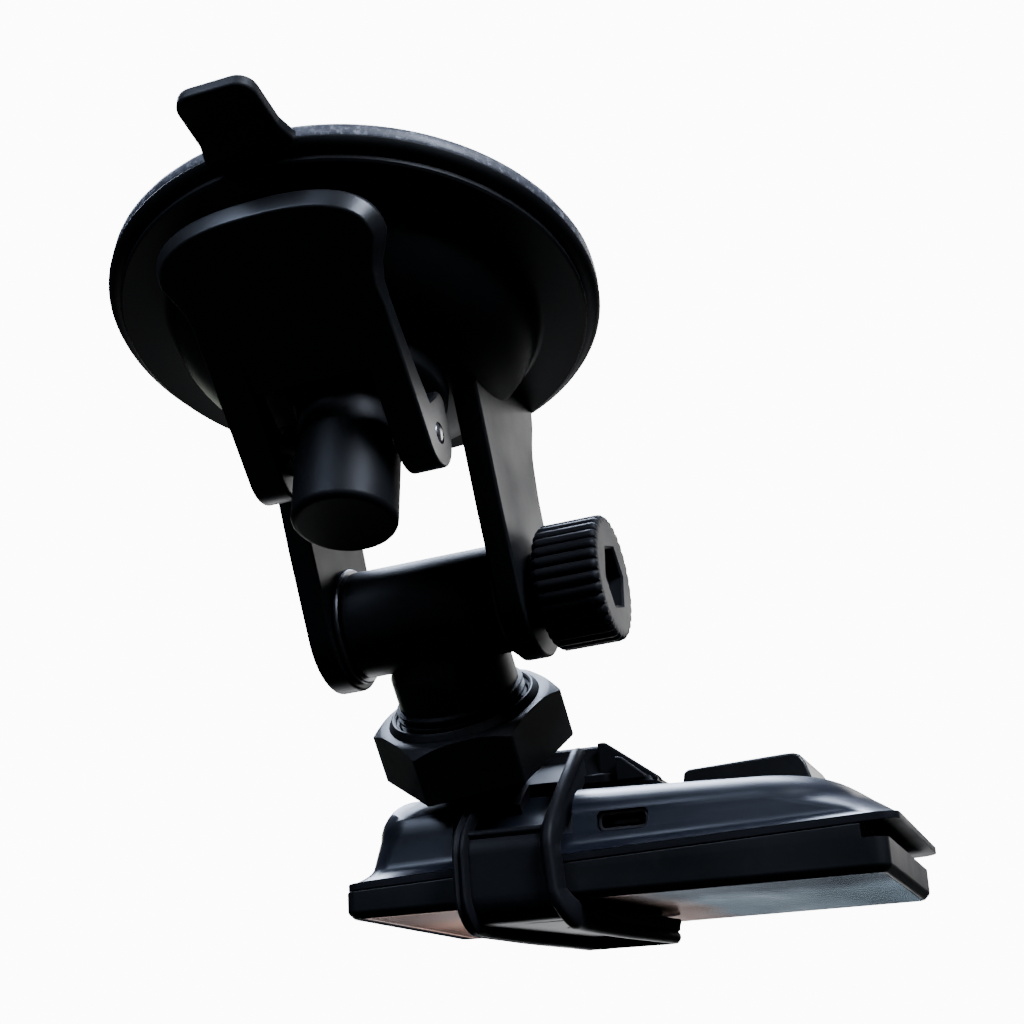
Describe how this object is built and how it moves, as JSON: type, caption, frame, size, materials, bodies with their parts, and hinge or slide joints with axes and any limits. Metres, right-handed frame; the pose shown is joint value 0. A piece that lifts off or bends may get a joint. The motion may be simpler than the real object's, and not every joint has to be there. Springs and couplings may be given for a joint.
{
  "type": "dash_camera",
  "caption": "Dash camera with a rear screen and raised lens block, held in a claw cradle on a ball joint and a cam-locked suction cup windscreen mount",
  "frame": {"origin": "centre of the suction face, which lies flat on the glass", "axes": "+Z points out of the suction face into the glass, +X runs along the hinge bolt towards the knurled knob, and the lock lever points to -Y; with the glass overhead the camera hangs at -Z"},
  "size_m": [0.0962, 0.1404, 0.0796],
  "materials": {
    "gel": "satin",
    "disc_rubber": "satin",
    "mount_plastic": "satin",
    "knob_plastic": "satin",
    "cradle_plastic": "satin",
    "seat_nylon": "satin",
    "spring_steel": "satin",
    "plated_steel": "satin",
    "black_steel": "satin",
    "pad_rubber": "matte",
    "cover_plastic": "satin",
    "frame_plastic": "satin",
    "bezel_plastic": "satin",
    "screen_glass": "polished",
    "display": "satin",
    "lens_plastic": "satin",
    "lens_glass": "polished",
    "circuit_board": "satin",
    "battery_foil": "satin",
    "board_metal": "satin",
    "button_plastic": "satin"
  },
  "bodies": {
    "mount": {"gel_pad": "gel", "suction_disc": "disc_rubber", "yoke_housing": "mount_plastic", "hinge_nut": "plated_steel"},
    "post": {"pull_post": "mount_plastic", "return_spring": "spring_steel"},
    "lever": {"lock_lever": "mount_plastic", "lever_pin": "plated_steel"},
    "stem": {"hinge_barrel": "mount_plastic", "friction_washers": "black_steel"},
    "knob": {"tension_knob": "knob_plastic", "hinge_bolt": "black_steel"},
    "collar": {"collar_nut": "mount_plastic"},
    "upper_ring": {"upper_seat": "seat_nylon"},
    "lower_ring": {"lower_seat": "seat_nylon"},
    "camera": {"cradle": "cradle_plastic", "back_pad": "pad_rubber", "jaw_pad": "pad_rubber", "rear_cover": "cover_plastic", "mid_frame": "frame_plastic", "front_bezel": "bezel_plastic", "screen_glass": "screen_glass", "lcd_panel": "display", "lens_housing": "lens_plastic", "lens_barrel": "lens_plastic", "lens_glass": "lens_glass", "sensor_board": "circuit_board", "main_board": "circuit_board", "battery": "battery_foil", "speaker": "board_metal", "microphone": "board_metal", "usb_socket": "board_metal", "card_socket": "board_metal", "case_screws": "black_steel"},
    "card": {"memory_card": "bezel_plastic"},
    "power_key": {"power_button": "button_plastic"},
    "menu_key": {"menu_button": "button_plastic"},
    "up_key": {"up_button": "button_plastic"},
    "down_key": {"down_button": "button_plastic"},
    "ok_key": {"ok_button": "button_plastic"}
  },
  "joints": [
    {"name": "post_slide", "type": "slide", "parent": "mount", "child": "post", "axis": [0, 0, 1], "range_m": [0, 0.0015], "deforming": ["return_spring"]},
    {"name": "lever_swing", "type": "hinge", "parent": "post", "child": "lever", "pos_m": [0, 0, -0.0274], "axis": [1, 0, 0], "range_deg": [0, 65]},
    {"name": "stem_tilt", "type": "hinge", "parent": "mount", "child": "stem", "pos_m": [0, 0.031, -0.0353], "axis": [1, 0, 0], "range_deg": [-60, 40]},
    {"name": "knob_spin", "type": "hinge", "parent": "mount", "child": "knob", "pos_m": [0, 0.031, -0.0353], "axis": [1, 0, 0], "continuous": true},
    {"name": "collar_spin", "type": "hinge", "parent": "stem", "child": "collar", "pos_m": [0, 0.04743, -0.04837], "axis": [0, 0.7826, -0.6225], "continuous": true},
    {"name": "ball_nod", "type": "hinge", "parent": "stem", "child": "upper_ring", "pos_m": [0, 0.04743, -0.04837], "axis": [1, 0, 0], "range_deg": [-6, 6]},
    {"name": "ball_roll", "type": "hinge", "parent": "upper_ring", "child": "lower_ring", "pos_m": [0, 0.04743, -0.04837], "axis": [0, 0.6225, 0.7826], "range_deg": [-6, 6]},
    {"name": "ball_swivel", "type": "hinge", "parent": "lower_ring", "child": "camera", "pos_m": [0, 0.04743, -0.04837], "axis": [0, 0.7826, -0.6225], "continuous": true},
    {"name": "card_slide", "type": "slide", "parent": "camera", "child": "card", "axis": [-0.0091, 0.9641, 0.2653], "range_m": [0, 0.012]},
    {"name": "power_press", "type": "slide", "parent": "camera", "child": "power_key", "axis": [0.0091, -0.9641, -0.2653], "range_m": [0, 0.0004], "stiffness_N_per_m": 1500, "springref_m": -0.0004},
    {"name": "menu_press", "type": "slide", "parent": "camera", "child": "menu_key", "axis": [0.0091, -0.9641, -0.2653], "range_m": [0, 0.0004], "stiffness_N_per_m": 1500, "springref_m": -0.0004},
    {"name": "up_press", "type": "slide", "parent": "camera", "child": "up_key", "axis": [0.0091, -0.9641, -0.2653], "range_m": [0, 0.0004], "stiffness_N_per_m": 1500, "springref_m": -0.0004},
    {"name": "down_press", "type": "slide", "parent": "camera", "child": "down_key", "axis": [0.0091, -0.9641, -0.2653], "range_m": [0, 0.0004], "stiffness_N_per_m": 1500, "springref_m": -0.0004},
    {"name": "ok_press", "type": "slide", "parent": "camera", "child": "ok_key", "axis": [0.0091, -0.9641, -0.2653], "range_m": [0, 0.0004], "stiffness_N_per_m": 1500, "springref_m": -0.0004}
  ],
  "couplings": [
    {"joint": "post_slide", "follows": "lever_swing", "m_per_rad": 0.0013222}
  ]
}
